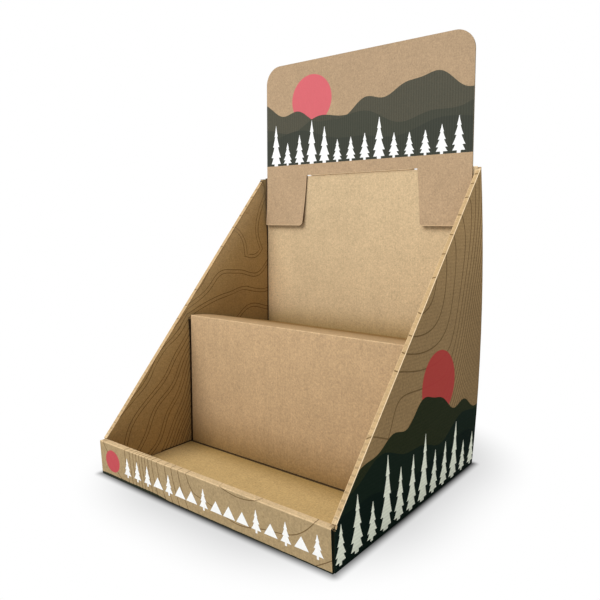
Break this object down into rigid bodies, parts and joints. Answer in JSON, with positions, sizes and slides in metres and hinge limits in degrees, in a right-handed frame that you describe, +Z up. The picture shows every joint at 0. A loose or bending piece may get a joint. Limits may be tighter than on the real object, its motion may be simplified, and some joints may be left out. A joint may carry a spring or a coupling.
{
  "type": "cardboard display stand",
  "caption": "Folded cardboard counter display: open tray with sloping double side walls and a low front lip, a step insert that makes tiers, and a header card hooked over the back",
  "frame": {"origin": "the middle of the base's underside, between the outer faces of the side walls at their foot and between the foot of the front lip and the back", "axes": "+Z up, -Y towards the customer at the front lip, +X to the customer's right"},
  "size_m": [0.337, 0.2859, 0.499],
  "materials": {
    "tray_board": "matte",
    "insert_board": "matte",
    "header_board": "matte"
  },
  "bodies": {
    "root": {"tray_body": "tray_board", "step_insert": "insert_board", "header_card": "header_board"}
  },
  "joints": []
}
